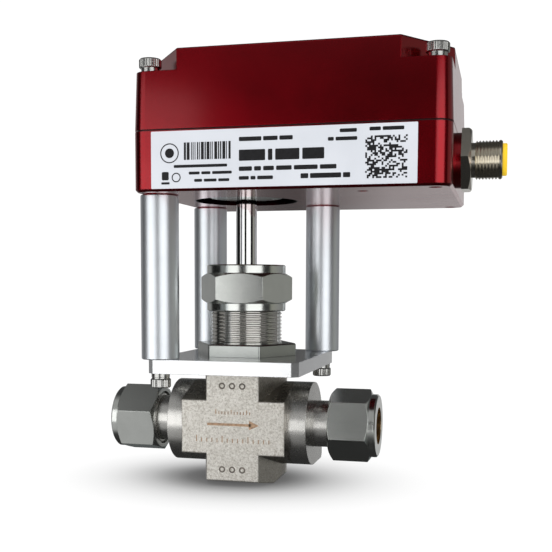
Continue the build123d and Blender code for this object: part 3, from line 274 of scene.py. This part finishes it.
def machined_metal(name, low, high, roughness, stretch=(1, 1, 1), edge=0.0, bore=None):
    """Turned or milled metal: hairlines one way, soft colour variation, a tint in the tube bore."""
    s = Shader(name)
    s.set(Metallic=1.0)
    colour = s.ramp(s.noise(90, 3), "Fac", [(0.3, low), (0.7, high)]).outputs["Color"]
    if bore:
        outside = s.past(s.reach((0, 1, 1)), TUBE_BORE)
        tint = s.ramp(s.noise(300, 2), "Fac", [(0.3, bore[0]), (0.7, bore[1])]).outputs["Color"]
        colour = s.blend("RGBA", outside, tint, colour)
    s.join(colour, "Base Color")
    lines = s.noise(2600, 2, 0.5, stretch)
    s.link(s.remap(lines, "Fac", *roughness), "Result", s.surface, "Roughness")
    rounded = s.add("ShaderNodeBevel", Radius=edge) if edge else None
    s.link(s.bump(lines, "Fac", 0.000003, 0.4, rounded), "Normal", s.surface, "Normal")
    return s.material


def moulded_plastic(name, low, high, roughness, grain=0.00003):
    """Moulded polymer with a light spark-eroded grain."""
    s = Shader(name)
    s.set(Specular_IOR_Level=0.5)
    colour = s.ramp(s.noise(200, 3), "Fac", [(0.3, low), (0.7, high)])
    s.link(colour, "Color", s.surface, "Base Color")
    gloss = s.remap(s.noise(700, 2), "Fac", roughness - 0.05, roughness + 0.08)
    s.link(gloss, "Result", s.surface, "Roughness")
    s.link(s.bump(s.noise(3000, 2), "Fac", grain, 0.5), "Normal", s.surface, "Normal")
    return s.material


def printed_film(name, low, high):
    """Satin polyester label film."""
    s = Shader(name)
    s.set(Coat_Weight=0.25, Coat_Roughness=0.2)
    colour = s.ramp(s.noise(60, 2), "Fac", [(0.3, low), (0.7, high)])
    s.link(colour, "Color", s.surface, "Base Color")
    s.link(s.remap(s.noise(400, 2), "Fac", 0.28, 0.38), "Result", s.surface, "Roughness")
    s.link(s.bump(s.noise(150, 2), "Fac", 0.00005, 0.3), "Normal", s.surface, "Normal")
    return s.material


def printed_ink(name, colour):
    """Thin ink or an etched mark, a little uneven."""
    s = Shader(name)
    s.set(Specular_IOR_Level=0.3)
    lighter = tuple(2.2 * value for value in colour)
    patchy = s.ramp(s.noise(900, 3), "Fac", [(0.35, colour), (0.75, lighter)])
    s.link(patchy, "Color", s.surface, "Base Color")
    s.link(s.remap(s.noise(500, 2), "Fac", 0.40, 0.55), "Result", s.surface, "Roughness")
    return s.material


# ---------------------------------------------------------------- materials of the slots
AROUND_Z = (0.06, 0.06, 3.0)  # hairlines running round the stem's axis


def grey(low, high):
    """Two neutral colours that a finish varies between."""
    return (low, low, low), (high, high, high)


FINISHES = {
    "anodised_case": anodised_aluminium("anodised_red", (0.33, 0.0014, 0.008), (0.40, 0.0019, 0.010)),
    "forged_steel": forged_steel("forged_steel"),
    "machined_steel": machined_metal(
        "machined_steel",
        (0.66, 0.68, 0.65),
        (0.73, 0.75, 0.72),
        (0.16, 0.21),
        AROUND_Z,
        edge=EDGE,
        bore=((0.70, 0.50, 0.28), (0.85, 0.66, 0.42)),
    ),
    "polished_steel": machined_metal("polished_steel", *grey(0.74, 0.82), (0.04, 0.07), AROUND_Z),
    "fastener_steel": machined_metal(
        "fastener_steel", (0.52, 0.52, 0.50), (0.64, 0.64, 0.62), (0.16, 0.24), edge=0.0002
    ),
    "plate_aluminium": machined_metal(
        "plate_aluminium", (0.82, 0.83, 0.84), (0.88, 0.89, 0.90), (0.20, 0.26), edge=EDGE
    ),
    "post_aluminium": machined_metal(
        "post_aluminium", (0.84, 0.88, 0.92), (0.89, 0.93, 0.97), (0.34, 0.39), AROUND_Z, edge=EDGE
    ),
    "label_film": printed_film("label_film", (0.50, 0.52, 0.56), (0.54, 0.56, 0.60)),
    "connector_nickel": machined_metal(
        "connector_nickel", (0.72, 0.68, 0.58), (0.80, 0.76, 0.68), (0.12, 0.18), edge=0.00003
    ),
    "connector_plastic": moulded_plastic(
        "connector_yellow", (0.80, 0.51, 0.001), (0.84, 0.56, 0.003), 0.45
    ),
    "contact_gold": machined_metal(
        "contact_gold", (0.80, 0.58, 0.25), (0.88, 0.66, 0.32), (0.12, 0.18)
    ),
    "gasket_rubber": moulded_plastic("gasket_rubber", *grey(0.012, 0.022), 0.65),
    "packing_polymer": moulded_plastic(
        "packing_polymer", (0.74, 0.74, 0.70), (0.82, 0.82, 0.78), 0.45
    ),
    "gear_brass": machined_metal(
        "gear_brass", (0.66, 0.48, 0.20), (0.78, 0.60, 0.30), (0.20, 0.30), AROUND_Z
    ),
    "gear_steel": machined_metal("gear_steel", *grey(0.40, 0.52), (0.18, 0.28), AROUND_Z),
    "bush_bronze": machined_metal(
        "bush_bronze", (0.45, 0.28, 0.13), (0.58, 0.38, 0.20), (0.35, 0.45)
    ),
    "black_screw": machined_metal("black_screw", *grey(0.03, 0.06), (0.30, 0.40)),
    "motor_metal": machined_metal(
        "motor_metal", (0.48, 0.48, 0.46), (0.60, 0.60, 0.57), (0.22, 0.32), AROUND_Z
    ),
    "sensor_plastic": moulded_plastic(
        "sensor_plastic", (0.02, 0.035, 0.11), (0.03, 0.05, 0.15), 0.35
    ),
    "board_laminate": moulded_plastic(
        "board_laminate", (0.012, 0.12, 0.05), (0.02, 0.17, 0.07), 0.25
    ),
    "terminal_plastic": moulded_plastic(
        "terminal_plastic", (0.03, 0.22, 0.09), (0.05, 0.28, 0.12), 0.45
    ),
    "component_plastic": moulded_plastic("component_plastic", *grey(0.02, 0.04), 0.45),
}

# the panel nut is cut from bar and left duller than the other nuts
RAW_BAR = machined_metal(
    "raw_bar_steel", (0.42, 0.44, 0.42), (0.48, 0.50, 0.48), (0.22, 0.27), edge=EDGE
)

slot_of = {part["node"]: part["material_slot"] for part in frame["record"]["subparts"]}
for name, node in nodes.items():
    node.data.materials.clear()
    node.data.materials.append(RAW_BAR if name == "panel_nut" else FINISHES[slot_of[name]])


# ---------------------------------------------------------------- pieces made here
def finish_piece(name, shape, material, body, smooth_angle=35):
    """A bmesh in millimetres made into a scene object that rides on a body."""
    bmesh.ops.recalc_face_normals(shape, faces=shape.faces)
    bmesh.ops.scale(shape, vec=(MM, MM, MM), verts=shape.verts)
    mesh = bpy.data.meshes.new(name)
    shape.to_mesh(mesh)
    shape.free()
    mesh.polygons.foreach_set("use_smooth", [True] * len(mesh.polygons))
    mesh.set_sharp_from_angle(angle=math.radians(smooth_angle))
    mesh.materials.append(material)
    piece = bpy.data.objects.new(name, mesh)
    bpy.context.scene.collection.objects.link(piece)
    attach(piece, body)
    return piece


def box_mm(node):
    """Lowest and highest corners of a CAD node, in millimetres."""
    return [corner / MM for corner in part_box(node)]


def hex_radius(flats, angle):
    """Distance from a hexagon's centre to its side at an angle."""
    sixth = math.pi / 3
    return flats / 2 / math.cos((angle + sixth / 2) % sixth - sixth / 2)


SCREW_KEY = 3.0  # across the flats of the hexagon socket
SCREW_SHANK_R = 1.95
SCREW_AXIS = 0.01  # radius that closes a profile at its axis
KNURL_DEPTH = 0.16
RIM = 0.35  # bevel at both ends of a knurled head
COVER_HEAD_R = 3.6
COVER_NECK = (2.9, 1.6)  # plain collar under the knurled head: radius and length
PLATE_HEAD_R = 3.45
PLATE_NECK = (3.0, 0.5)
COVER_TOP_TO_LEDGE = 6.8  # from the top of the cover down to the corner ledges


def knurled_screw(shape, x, y, base_z, up, head, neck, shank_h, ridges=34):
    """Socket screw with a knurled head: head and neck are (radius, length); up is 1 or -1."""
    head_r, head_h = head
    neck_r, neck_h = neck
    top = neck_h + head_h
    profile = [
        # radius, height, depth of the knurl, whether the ring is a hexagon
        (SCREW_AXIS, -shank_h, 0, False),
        (SCREW_SHANK_R, -shank_h, 0, False),
        (SCREW_SHANK_R, 0, 0, False),
        (neck_r, 0, 0, False),
        (neck_r, neck_h, 0, False),
        (head_r - RIM, neck_h, 0, False),
        (head_r, neck_h + RIM, KNURL_DEPTH, False),
        (head_r, top - RIM, KNURL_DEPTH, False),
        (head_r - RIM, top, 0, False),
        (SCREW_KEY, top, 0, True),
        (SCREW_KEY, top - 0.55 * head_h, 0, True),
        (SCREW_AXIS, top - 0.6 * head_h, 0, False),
    ]
    count = 2 * ridges
    rings = []
    for radius, height, ridge, is_hex in profile:
        ring = []
        for step in range(count):
            angle = math.tau * step / count
            r = hex_radius(radius, angle) if is_hex else radius - ridge * (step % 2)
            place = (x + r * math.cos(angle), y + r * math.sin(angle), base_z + up * height)
            ring.append(shape.verts.new(place))
        rings.append(ring)
    for low, high in zip(rings, rings[1:]):
        for step in range(count):
            after = (step + 1) % count
            shape.faces.new((low[step], low[after], high[after], high[step]))
    shape.faces.new(rings[0])
    shape.faces.new(rings[-1])


def make_cover_screws():
    """Knurled screws that stand on the cover's corner ledges."""
    low, high = box_mm("cover_screws")
    ledge = box_mm("upper_cover")[1].z - COVER_TOP_TO_LEDGE
    head = (COVER_HEAD_R, high.z - ledge - COVER_NECK[1])
    shape = bmesh.new()
    for x in (low.x + COVER_HEAD_R, high.x - COVER_HEAD_R):
        for y in (low.y + COVER_HEAD_R, high.y - COVER_HEAD_R):
            knurled_screw(shape, x, y, ledge, 1, head, COVER_NECK, ledge - low.z)
    steel = FINISHES["fastener_steel"]
    screws = finish_piece("knurled_cover_screws", shape, steel, "frame")
    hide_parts("cover_screws")


def make_plate_screws():
    """Knurled screws under the mounting plate, one below each post."""
    low, high = box_mm("plate_screws")
    seat = box_mm("lock_washers")[0].z
    head = (PLATE_HEAD_R, seat - low.z - PLATE_NECK[1])
    shape = bmesh.new()
    for corner_x, corner_y in ((low.x, low.y), (low.x, high.y), (high.x, high.y)):
        x = corner_x + math.copysign(PLATE_HEAD_R, -corner_x)
        y = corner_y + math.copysign(PLATE_HEAD_R, -corner_y)
        knurled_screw(shape, x, y, seat, -1, head, PLATE_NECK, high.z - seat, ridges=26)
    steel = FINISHES["fastener_steel"]
    screws = finish_piece("knurled_plate_screws", shape, steel, "frame")
    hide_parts("plate_screws")


def slab(shape, x0, z0, x1, z1, y, corner=0.0):
    """Flat patch facing the front (-Y), with rounded corners if asked."""
    if corner:
        outline = []
        for cx, cz, start in (
            (x1 - corner, z0 + corner, -90),
            (x1 - corner, z1 - corner, 0),
            (x0 + corner, z1 - corner, 90),
            (x0 + corner, z0 + corner, 180),
        ):
            for step in range(7):
                angle = math.radians(start + 15 * step)
                outline.append((cx + corner * math.cos(angle), y, cz + corner * math.sin(angle)))
    else:
        outline = [(x0, y, z0), (x1, y, z0), (x1, y, z1), (x0, y, z1)]
    return shape.faces.new([shape.verts.new(place) for place in outline])


def ring_mark(shape, x, z, outer, inner, y, segments=40):
    """Flat ring facing the front."""
    angles = [math.tau * step / segments for step in range(segments)]
    outside, inside = (
        [shape.verts.new((x + r * math.cos(angle), y, z + r * math.sin(angle))) for angle in angles]
        for r in (outer, inner)
    )
    for i in range(segments):
        j = (i + 1) % segments
        shape.faces.new((outside[i], outside[j], inside[j], inside[i]))


def text_bars(shape, x, z, widths, height, y, gap):
    """A line of print as plain rounded bars, one for each word."""
    for width in widths:
        slab(shape, x, z, x + width, z + height, y, corner=min(0.3, height / 3))
        x += width + gap


# how far the film's face and its print lie behind the front of the CAD label
FILM_LIFT = 0.04
INK_LIFT = 0.015
LABEL_PRINT = (
    # lines of print from the label's lower left corner: left, bottom, widths of the words, height, gap
    (29.0, 14.0, (7.2, 4.6, 4.2), 1.3, 0.55),
    (29.0, 8.0, (8.4, 1.4, 7.6, 6.8), 3.4, 0.9),
    (29.0, 4.9, (4.2, 2.2, 3.4, 4.9, 7.4, 5.1), 1.35, 0.7),
    (29.0, 2.2, (3.2, 1.6, 5.0), 1.1, 0.55),
    (48.6, 2.2, (2.4, 9.6, 2.2), 1.5, 0.55),
    (60.6, 15.6, (5.2,), 1.1, 0.55),
    (69.6, 15.8, (3.4, 6.4), 1.1, 0.55),
    (57.0, 13.2, (1.8, 6.6), 1.1, 0.55),
    (7.6, 6.4, (17.6,), 0.9, 0.55),
    (12.6, 4.2, (3.6, 3.0, 6.4), 0.9, 0.55),
    (14.4, 1.9, (2.6, 4.2, 3.6), 0.9, 0.55),
    (3.4, 1.3, (2.8,), 0.7, 0.55),
)


def make_label_film():
    """Rating label's film, with rounded corners."""
    low, high = box_mm("rating_label")
    face_y = low.y + FILM_LIFT
    shape = bmesh.new()
    front = slab(shape, low.x, low.z, high.x, high.z, face_y, corner=0.3)
    edge = bmesh.ops.extrude_face_region(shape, geom=[front])
    moved = [item for item in edge["geom"] if isinstance(item, bmesh.types.BMVert)]
    bmesh.ops.translate(shape, vec=(0, high.y - face_y, 0), verts=moved)
    film = finish_piece("label_film", shape, FINISHES["label_film"], "frame")
    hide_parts("rating_label")


def bar_pattern(shape, left, right, bottom, top, y, draw):
    """Upright bars of drawn widths, with drawn gaps between them."""
    while left < right:
        width = draw.choice((0.28, 0.42, 0.7, 0.95))
        slab(shape, left, bottom, left + width, top, y)
        left += width + draw.choice((0.25, 0.35, 0.5))


def dot_pattern(shape, left, bottom, side, cells, y, draw):
    """Square grid of cells, about half of them filled."""
    size = side / cells
    for row in range(cells):
        for column in range(cells):
            if draw.random() < 0.5:
                x, z = left + column * size, bottom + row * size
                slab(shape, x, z, x + size, z + size, y)


def make_label_print():
    """Plain rings, bars and blocks on the label, where print would be."""
    low = box_mm("rating_label")[0]
    x0, z0, y = low.x, low.z, low.y + INK_LIFT
    draw = random.Random(7)
    shape = bmesh.new()
    ring_mark(shape, x0 + 6.2, z0 + 11.0, 3.1, 2.75, y)
    ring_mark(shape, x0 + 6.2, z0 + 11.0, 1.5, 0.01, y)
    ring_mark(shape, x0 + 8.4, z0 + 3.4, 1.5, 1.15, y)
    slab(shape, x0 + 3.6, z0 + 2.6, x0 + 5.9, z0 + 5.2, y, corner=0.4)
    bar_pattern(shape, x0 + 11.0, x0 + 26.5, z0 + 8.8, z0 + 14.2, y, draw)
    for left, bottom, widths, height, gap in LABEL_PRINT:
        text_bars(shape, x0 + left, z0 + bottom, widths, height, y, gap)
    dot_pattern(shape, x0 + 68.4, z0 + 1.7, 12.6, 23, y, draw)
    ink = printed_ink("label_ink", (0.004, 0.004, 0.005))
    finish_piece("label_print", shape, ink, "frame")


PAD_FRONT_Y = -18.0
MARK_LIFT = 0.012


def make_etched_marks():
    """Laser-etched arrow and ticks on the front pad of the valve body."""
    y = PAD_FRONT_Y - MARK_LIFT
    shape = bmesh.new()
    slab(shape, -9.0, 0.6, 6.6, 1.5, y)
    arrow_head = [(6.0, -0.55), (9.6, 1.05), (6.0, 2.65)]
    shape.faces.new([shape.verts.new((x, y, z)) for x, z in arrow_head])
    # two rows of ticks: how many, left end, bottom, height of a long tick, pitch
    for count, left, bottom, tall, pitch in ((12, -6.0, 4.6, 1.6, 1.1), (15, -13.0, -5.2, 2.3, 1.85)):
        for tick in range(count):
            x = left + tick * pitch
            height = tall * (1.0 if tick % 5 == 0 else 0.62)
            slab(shape, x, bottom, x + 0.34, bottom + height, y)
    etched = printed_ink("etched_mark", (0.20, 0.13, 0.08))
    finish_piece("etched_marks", shape, etched, "frame")


def make_punch_marks():
    """Rings punched in rows of three, at the top and the bottom of the front pad."""
    shape = bmesh.new()
    for z in (14.4, -14.6):
        for x in (-3.6, 0.0, 3.6):
            ring_mark(shape, x, z, 1.15, 0.62, PAD_FRONT_Y - MARK_LIFT, segments=20)
    punched = printed_ink("punched_steel", (0.07, 0.06, 0.05))
    finish_piece("punch_marks", shape, punched, "frame")


make_cover_screws()
make_plate_screws()
make_label_film()
make_label_print()
make_etched_marks()
make_punch_marks()

# ---------------------------------------------------------------- studio
SOFTBOX = 1.35  # radiance
SOFTBOX_DISTANCE = 0.55  # from the stem's axis
SOFTBOX_LOW, SOFTBOX_STEP, SOFTBOX_TOP = -0.12, 0.14, 0.245
WHITE_GLOW = 1.05  # emission of the backdrop, just past white
FLOOR_GAP = 0.0002  # between the object and the floor


class World(Nodes):
    """The room around the object: a colour for every direction, made of ramps."""

    def __init__(self):
        self.world = bpy.data.worlds.new("studio")
        self.world.use_nodes = True
        super().__init__(self.world.node_tree)
        coords = self.add("ShaderNodeTexCoord")
        self.split = self.add("ShaderNodeSeparateXYZ")
        self.link(coords, "Generated", self.split, "Vector")

    def ramp(self, value, low, high, stops):
        """Colour ramp over a socket that runs from low to high."""
        span = high - low
        node = self.colour_ramp([((position - low) / span, colour) for position, colour in stops])
        scaled = self.math("DIVIDE", self.math("SUBTRACT", value, low), span)
        self.tree.links.new(scaled, node.inputs["Fac"])
        return node.outputs["Color"]

    def mix(self, factor, first, second):
        """Two colours mixed by a factor."""
        node = self.add("ShaderNodeMix")
        node.data_type = "RGBA"
        for socket, source in (("Factor", factor), ("A", first), ("B", second)):
            self.tree.links.new(source, node.inputs[socket])
        return node.outputs["Result"]


def build_world():
    """Dim room with grey walls, seen only in reflections, darker in front and beside the softboxes.

    Bearings are degrees round the stem, 0 being straight in front; x, y and z run from -1 to 1.
    """
    w = World()
    x, y, z = (w.split.outputs[axis] for axis in "XYZ")
    bearing = w.math("MULTIPLY", w.math("ARCTAN2", x, w.math("MULTIPLY", y, -1.0)), 180 / math.pi)
    walls = w.ramp(
        bearing,
        -180,
        180,
        [
            (-180, 0.50),
            (-173, 0.40),
            (-167, 0.06),
            (-160, 0.30),
            (-112, 0.30),
            (-102, 0.01),
            (-66, 0.01),
            (-16, 0.05),
            (-5, 0.035),
            (1, 0.015),
            (14, 0.02),
            (60, 0.05),
            (66, 0.02),
            (86, 0.02),
            (94, (0.33, 0.33, 0.29)),
            (130, 0.28),
            (163, 0.20),
            (173, 0.60),
        ],
    )
    behind = w.ramp(y, -1, 1, [(-0.1, 0.0), (0.1, 1.0)])
    left = w.ramp(bearing, -180, 180, [(-22, 1.0), (-15, 0.0)])
    ceiling_front = w.ramp(
        z, 0, 1, [(0.30, 0.26), (0.45, 0.34), (0.85, 0.38), (0.94, 0.08), (1.0, 0.05)]
    )
    ceiling_back = w.ramp(z, 0, 1, [(0.3, 0.06), (1.0, 0.05)])
    above_front = w.ramp(z, 0, 1, [(0.29, 0.0), (0.38, 1.0)])
    above_back = w.ramp(z, 0, 1, [(0.22, 0.0), (0.34, 1.0)])
    ceiling = w.mix(behind, ceiling_front, ceiling_back)
    above = w.mix(behind, above_front, above_back)
    floor_left = w.ramp(z, -1, 0, [(-0.84, 0.04), (-0.68, 0.45), (-0.40, 0.50), (-0.12, 0.40)])
    floor_right = w.ramp(
        z, -1, 0, [(-0.80, 0.02), (-0.62, 0.06), (-0.47, 0.18), (-0.25, 0.35), (-0.12, 0.40)]
    )
    green_grey = (0.15, 0.17, 0.17), (0.33, 0.37, 0.37)
    floor_back = w.ramp(
        z, -1, 0, [(-0.95, 0.03), (-0.42, 0.03), (-0.30, green_grey[0]), (-0.22, green_grey[1])]
    )
    below_front = w.ramp(z, -1, 0, [(-0.2, 1.0), (-0.1, 0.0)])
    below_back = w.ramp(z, -1, 0, [(-0.32, 1.0), (-0.22, 0.0)])
    ground = w.mix(behind, w.mix(left, floor_right, floor_left), floor_back)
    below = w.mix(behind, below_front, below_back)
    room = w.mix(below, w.mix(above, walls, ceiling), ground)
    w.tree.links.new(room, w.tree.nodes["Background"].inputs["Color"])
    bpy.context.scene.world = w.world


def area_light(name, place, target, size, radiance, in_reflections=True):
    """Rectangular softbox aimed at a point; its power comes from the radiance wanted."""
    data = bpy.data.lights.new(name, "AREA")
    data.shape = "RECTANGLE"
    data.size, data.size_y = size
    data.energy = radiance * math.pi * size[0] * size[1]
    light = bpy.data.objects.new(name, data)
    light.location = place
    light.rotation_euler = (Vector(target) - Vector(place)).to_track_quat("-Z", "Y").to_euler()
    light.visible_camera = False
    light.visible_glossy = in_reflections
    bpy.context.scene.collection.objects.link(light)


def softbox(name, bearing_from, bearing_to, low, high, radiance):
    """Upright softbox between two bearings round the stem, 0 being straight in front."""
    start, end = (
        SOFTBOX_DISTANCE * Vector((math.sin(bearing), -math.cos(bearing), 0))
        for bearing in (math.radians(bearing_from), math.radians(bearing_to))
    )
    middle = (start + end) / 2 + Vector((0, 0, (low + high) / 2))
    area_light(name, middle, (0, 0, middle.z), ((end - start).length, high - low), radiance)


def stage_piece(name, shape, material):
    """A mesh of the studio itself, which no mirror-like surface shows."""
    mesh = bpy.data.meshes.new(name)
    shape.to_mesh(mesh)
    shape.free()
    mesh.materials.append(material)
    piece = bpy.data.objects.new(name, mesh)
    piece.visible_glossy = False
    piece.visible_shadow = False
    bpy.context.scene.collection.objects.link(piece)
    return piece


def floor_material():
    """White that glows, with a soft round shadow under the object."""
    s = Shader("studio_white")
    s.set(Base_Color=(0.9, 0.9, 0.9, 1), Roughness=0.9, Specular_IOR_Level=0.0)
    distance = s.reach((1, 1.25, 0)).node
    # how bright the floor glows at a distance from the middle, in metres
    shadow = [
        (0.0, 0.06),
        (0.018, 0.11),
        (0.026, 0.30),
        (0.033, 0.52),
        (0.042, 0.72),
        (0.052, 0.86),
        (0.064, 0.95),
        (0.08, 1.0),
    ]
    reach = 0.1
    fade = s.remap(distance, "Value", 0.0, 1.0, 0.0, reach)
    painted_shade = s.ramp(fade, "Result", [(radius / reach, level) for radius, level in shadow])
    painted_shade.color_ramp.interpolation = "B_SPLINE"
    glow = s.add("ShaderNodeEmission", Strength=WHITE_GLOW)
    s.link(painted_shade, "Color", glow, "Color")
    blend = s.add("ShaderNodeMixShader")
    s.link(s.remap(distance, "Value", 0.88, 1.0, 0.03, 0.16), "Result", blend, "Fac")
    s.link(s.surface, "BSDF", blend, 1)
    s.link(glow, "Emission", blend, 2)
    s.link(blend, "Shader", s.output, "Surface")
    return s.material


def build_backdrop():
    """White disc that melts into a white dome."""
    shape = bmesh.new()
    bmesh.ops.create_circle(shape, cap_ends=True, segments=96, radius=3.0)
    floor = stage_piece("studio_floor", shape, floor_material())
    floor.location = (-0.003, 0, cad_box[0][2] - FLOOR_GAP)
    shape = bmesh.new()
    bmesh.ops.create_icosphere(shape, subdivisions=3, radius=6.0)
    white = Shader("dome_white")
    glow = white.add("ShaderNodeEmission", Strength=WHITE_GLOW)
    white.link(glow, "Emission", white.output, "Surface")
    dome = stage_piece("studio_dome", shape, white.material)
    dome.visible_transmission = False
    dome.visible_volume_scatter = False


build_world()
build_backdrop()
softbox("softbox_left", -59, -6, SOFTBOX_LOW, SOFTBOX_STEP, SOFTBOX)
softbox("softbox_left_top", -59, -18, SOFTBOX_STEP, SOFTBOX_TOP, 0.8 * SOFTBOX)
softbox("softbox_right", 15, 62, SOFTBOX_LOW, SOFTBOX_TOP, SOFTBOX)
area_light("overhead", (0.02, -0.1, 1.0), (0.02, 0, 0), (1.6, 1.4), 0.7, in_reflections=False)
bpy.context.scene.view_settings.view_transform = "Standard"

# ---------------------------------------------------------------- camera
CAMERA_PLACE = (0.0904, -0.3183, 0.0495)
CAMERA_YAW = 14.01  # degrees to the left of straight ahead
CAMERA_PITCH = -4.51
CAMERA_ROLL = 0.2
camera_data = bpy.data.cameras.new("camera")
camera_data.sensor_width = 36
camera_data.lens = 60.07
camera_data.shift_y = 0.145
camera_data.clip_start = 0.01
camera_data.clip_end = 20
camera = bpy.data.objects.new("camera", camera_data)
camera.location = CAMERA_PLACE
camera.rotation_euler = (
    Matrix.Rotation(math.radians(CAMERA_YAW), 3, "Z")
    @ Matrix.Rotation(math.radians(90 + CAMERA_PITCH), 3, "X")
    @ Matrix.Rotation(math.radians(CAMERA_ROLL), 3, "Z")
).to_euler()
bpy.context.scene.collection.objects.link(camera)
bpy.context.scene.camera = camera
